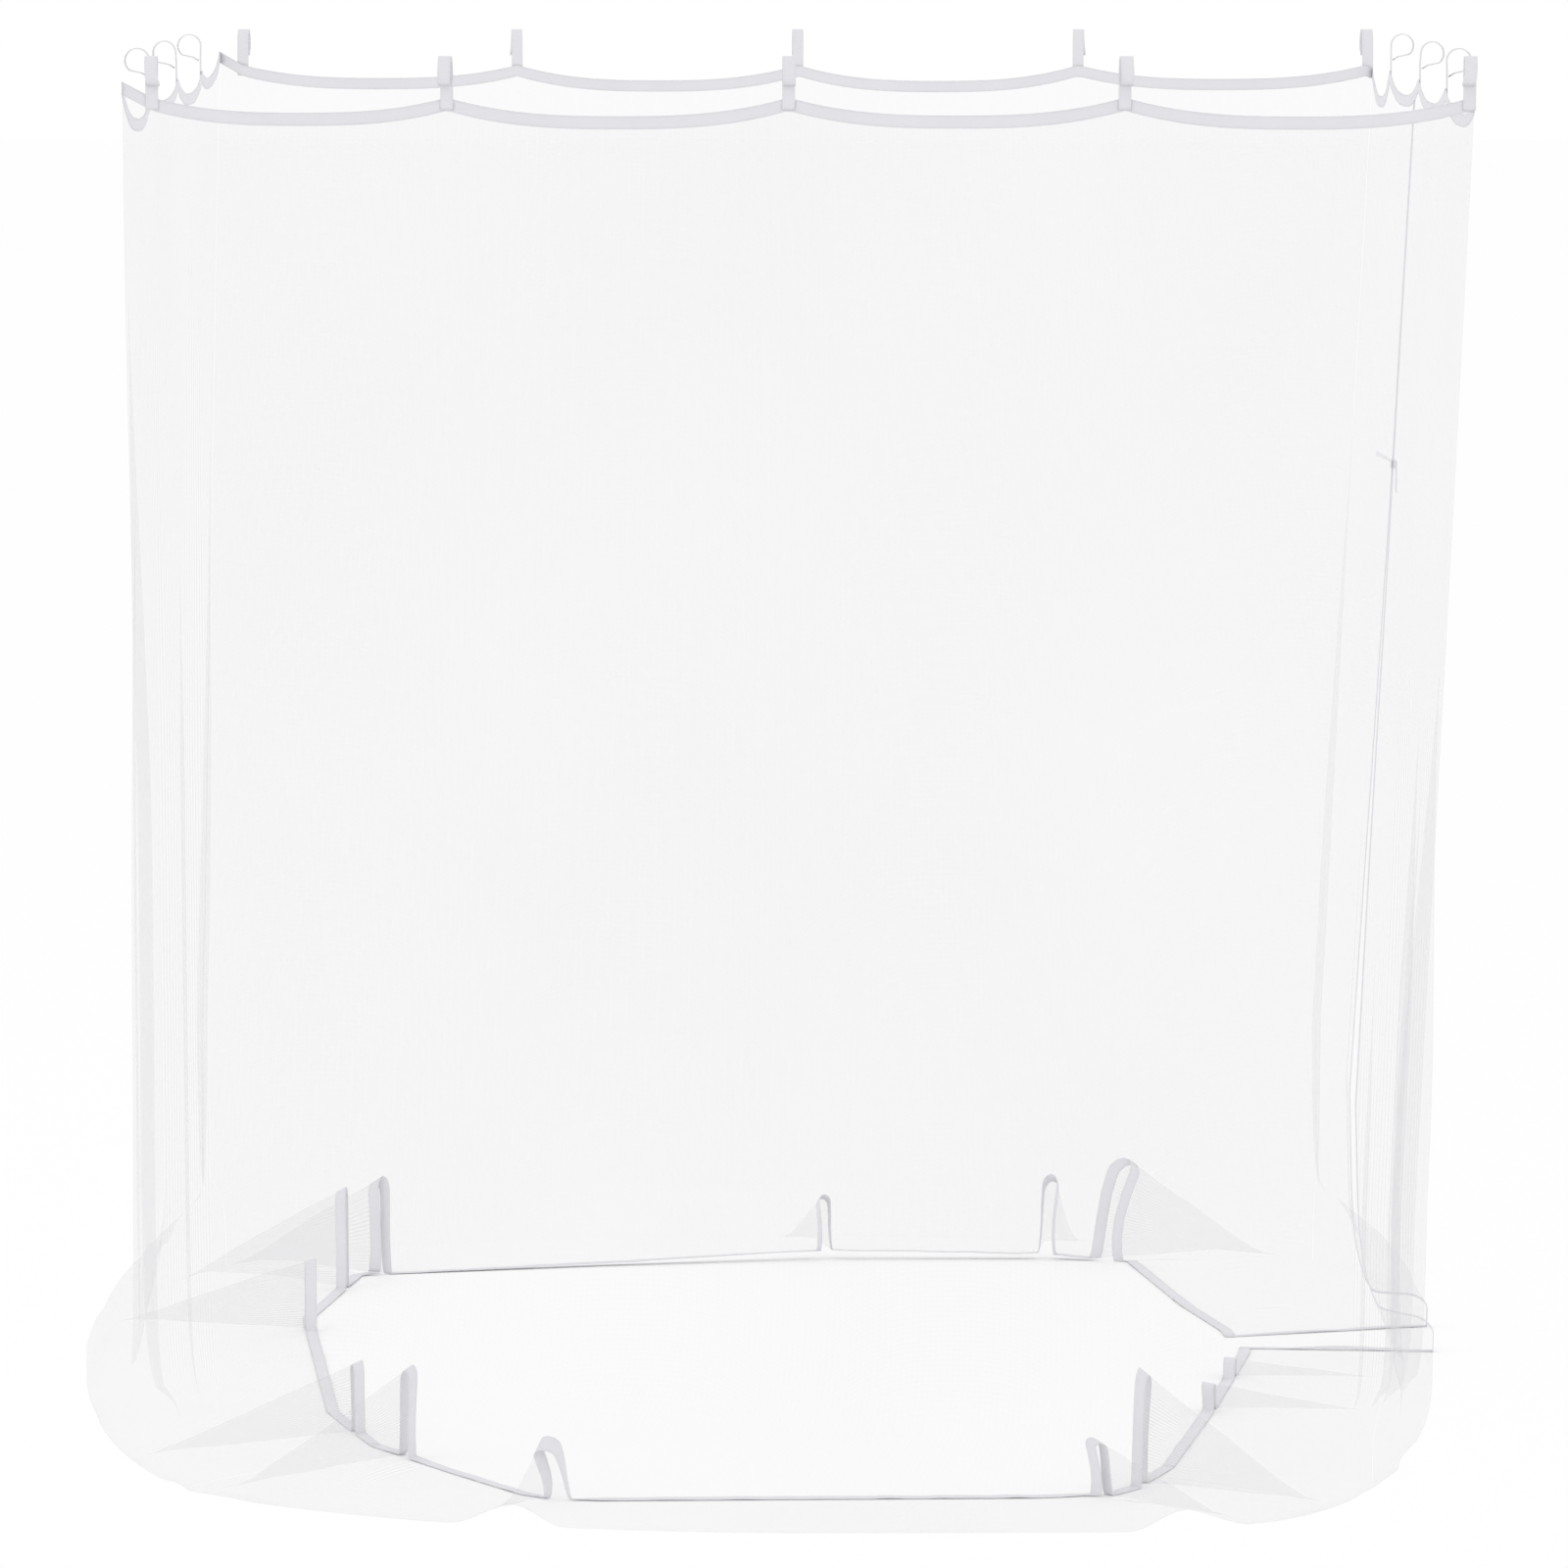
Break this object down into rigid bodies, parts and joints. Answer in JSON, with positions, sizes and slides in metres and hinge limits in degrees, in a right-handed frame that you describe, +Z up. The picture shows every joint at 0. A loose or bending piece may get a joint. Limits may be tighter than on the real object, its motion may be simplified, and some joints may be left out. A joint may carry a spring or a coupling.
{
  "type": "gazebo mosquito net",
  "caption": "Four-sided sheer net curtain for a gazebo, hung from strap loops along its open top, with a zipped doorway in one side and its skirt folded in on the floor.",
  "frame": {"origin": "on the floor, under the middle of the footprint of the hanging and folded cloth", "axes": "+X to the right of the picture, towards the side with the zip; +Y away from the viewer, towards the back wall; +Z up"},
  "size_m": [2.1833, 2.5312, 2.125],
  "materials": {
    "net": "sheer white polyester mosquito net",
    "tape": "matt white woven tape",
    "zip_tape": "matt white zip tape and coil",
    "slider": "white coated slider and pulls"
  },
  "bodies": {
    "root": {"net_front": "net", "net_left": "net", "net_back": "net", "net_right_front": "net", "net_right_back": "net", "top_tape_front": "tape", "top_tape_left": "tape", "top_tape_back": "tape", "top_tape_right": "tape", "hem_tape_front": "tape", "hem_tape_left": "tape", "hem_tape_back": "tape", "hem_tape_right_front": "tape", "hem_tape_right_back": "tape", "zip_tape_front": "zip_tape", "zip_tape_back": "zip_tape", "zip_coil": "zip_tape", "zip_slider": "slider", "zip_pull_outer": "slider", "zip_pull_inner": "slider", "strap_01": "tape", "strap_02": "tape", "strap_03": "tape", "strap_04": "tape", "strap_05": "tape", "strap_06": "tape", "strap_07": "tape", "strap_08": "tape", "strap_09": "tape", "strap_10": "tape", "strap_11": "tape", "strap_12": "tape", "strap_13": "tape", "strap_14": "tape", "strap_15": "tape", "strap_16": "tape"}
  },
  "joints": []
}
